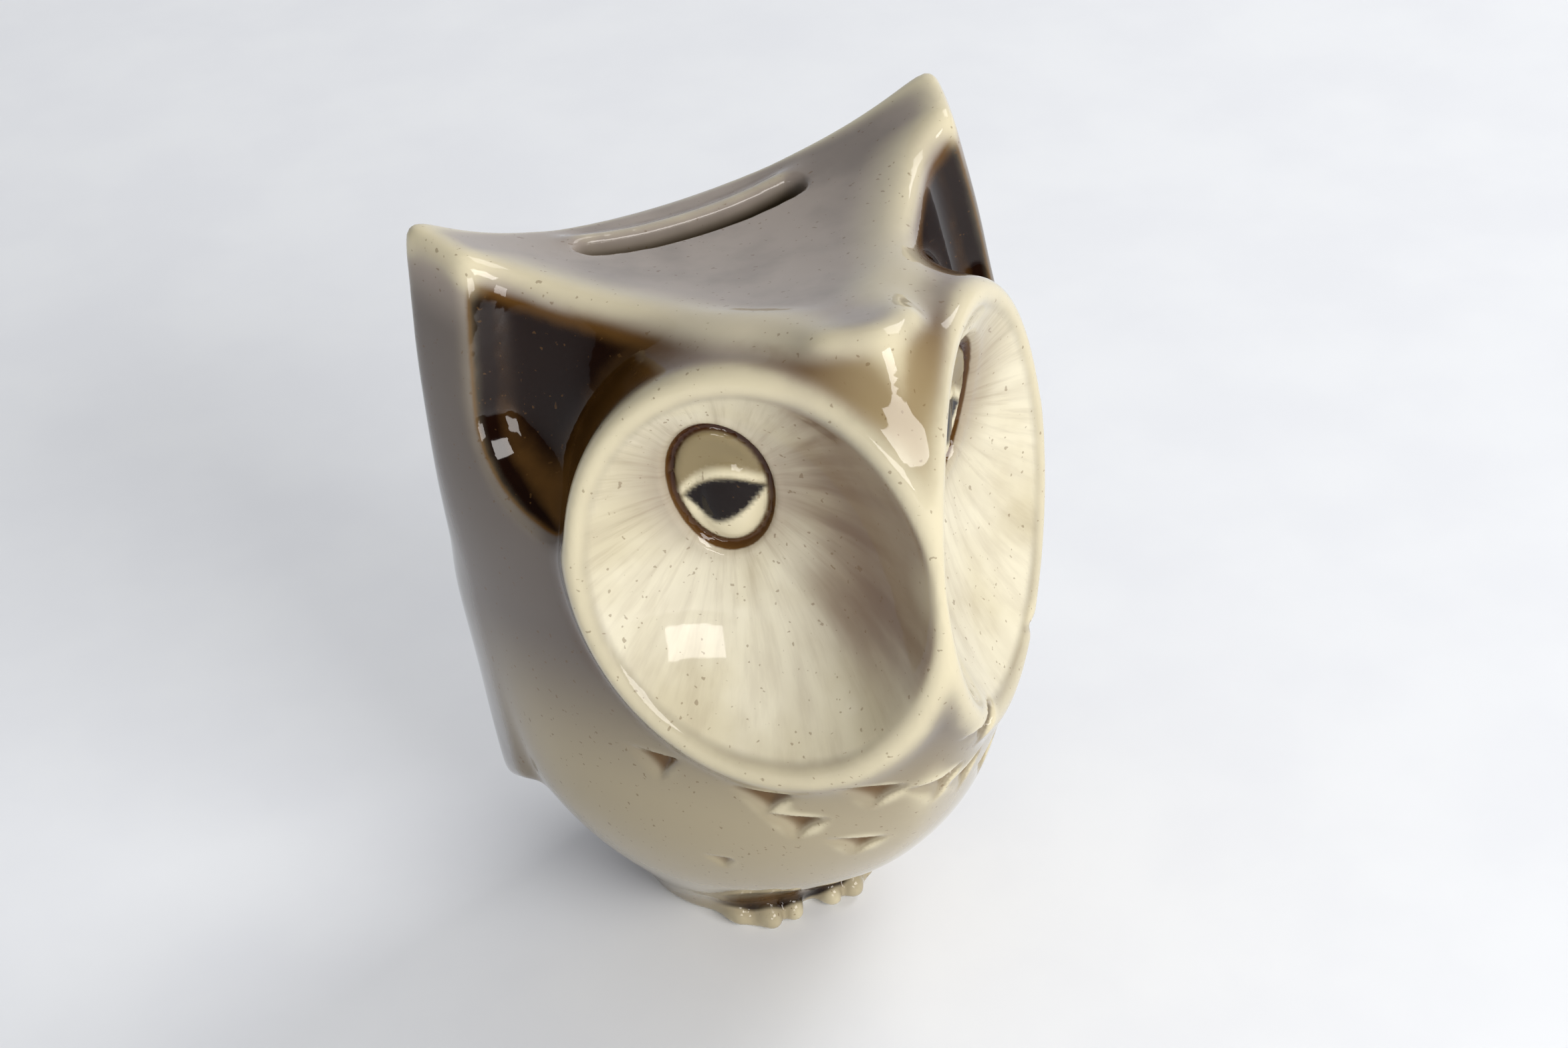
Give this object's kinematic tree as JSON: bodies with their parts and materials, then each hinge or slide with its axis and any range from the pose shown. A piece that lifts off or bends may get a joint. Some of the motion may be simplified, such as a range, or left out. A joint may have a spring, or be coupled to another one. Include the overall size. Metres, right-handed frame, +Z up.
{
  "type": "figural coin bank",
  "caption": "Glazed ceramic owl coin bank with dished eye discs, pointed ears, a coin slot across its crown and a key-lock trap in its base.",
  "frame": {"origin": "centre of the bounding box, at the level of the foot ring that the bank stands on", "axes": "+Z up; the owl faces -Y; +X is the right-hand side of a viewer who looks at its face"},
  "size_m": [0.088, 0.0958, 0.124],
  "materials": {
    "glazed_ceramic": "high gloss taupe and olive glaze, dark where it pools, beige where it breaks over edges",
    "nickel_plate": "worn nickel plate",
    "lock_brass": "stamped brass, slightly dull",
    "lock_steel": "plain steel"
  },
  "bodies": {
    "owl": {"ceramic_body": "glazed_ceramic"},
    "trap": {"cover_plate": "nickel_plate", "lock_case": "nickel_plate", "bolt_guide": "lock_brass", "key_post": "lock_steel", "wave_washer": "lock_steel", "case_rivet_1": "lock_brass", "case_rivet_2": "lock_brass", "case_rivet_3": "lock_brass", "case_rivet_4": "lock_brass"},
    "cam": {"scroll_cam": "lock_brass"},
    "right_bolt": {"bolt_right": "lock_steel", "bolt_pin_right": "lock_steel"},
    "left_bolt": {"bolt_left": "lock_steel", "bolt_pin_left": "lock_steel"}
  },
  "joints": [
    {"name": "trap_pull", "type": "slide", "parent": "owl", "child": "trap", "axis": [0, 0, -1], "range_m": [0, 0.03]},
    {"name": "cam_turn", "type": "hinge", "parent": "trap", "child": "cam", "pos_m": [0, 0.0196, 0.007], "axis": [0, 0, 1], "range_deg": [0, 90]},
    {"name": "right_bolt_slide", "type": "slide", "parent": "trap", "child": "right_bolt", "axis": [1, 0, 0], "range_m": [0, 0.0034]},
    {"name": "left_bolt_slide", "type": "slide", "parent": "trap", "child": "left_bolt", "axis": [-1, 0, 0], "range_m": [0, 0.0034]}
  ],
  "couplings": [
    {"joint": "right_bolt_slide", "follows": "cam_turn", "m_per_rad": 0.0021645},
    {"joint": "left_bolt_slide", "follows": "cam_turn", "m_per_rad": 0.0021645}
  ]
}
